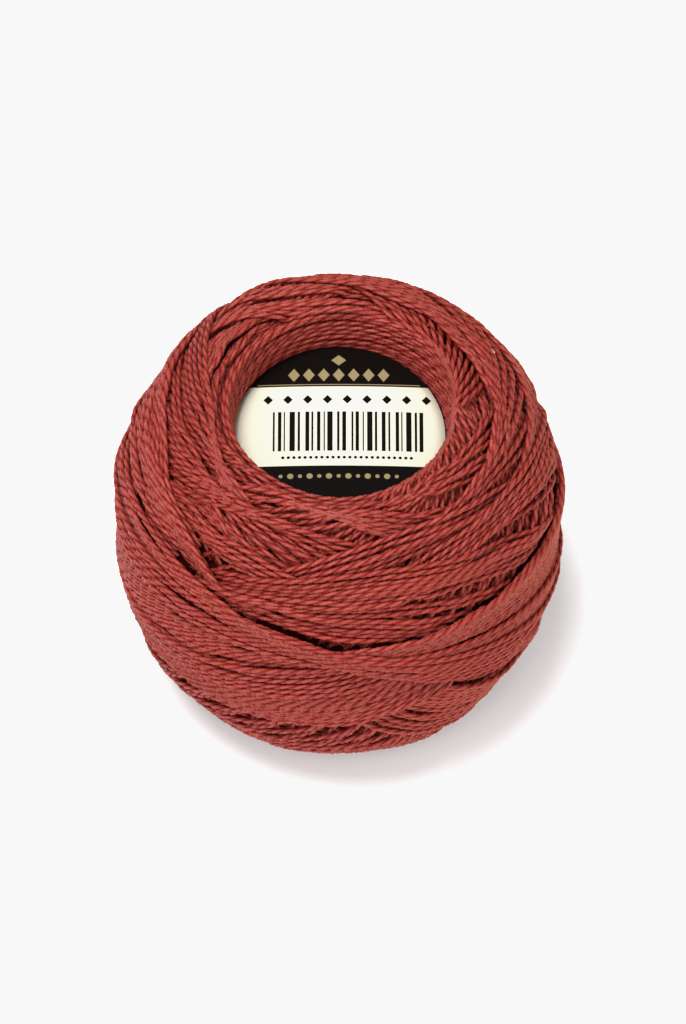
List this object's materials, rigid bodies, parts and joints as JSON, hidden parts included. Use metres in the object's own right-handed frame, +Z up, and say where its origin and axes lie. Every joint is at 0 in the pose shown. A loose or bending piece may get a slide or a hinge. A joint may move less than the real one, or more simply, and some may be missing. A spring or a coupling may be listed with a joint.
{
  "type": "ball of pearl cotton",
  "caption": "Ball of terracotta red pearl cotton thread, wound as a thick ring in crossing bands, with a round card label seated in its open mouth.",
  "frame": {"origin": "middle of the ring that the ball stands on, on the surface it stands on", "axes": "+Z up along the axis of the hole, out of the mouth that holds the label; +X along the long rules of the label, to the right as it is read; +Y to the top of the label"},
  "size_m": [0.0434, 0.0434, 0.0361],
  "materials": {
    "cotton": "silky mercerised two-ply thread",
    "card": "glossy printed pasteboard"
  },
  "bodies": {
    "root": {"wound_ball": "cotton", "label": "card"}
  },
  "joints": []
}
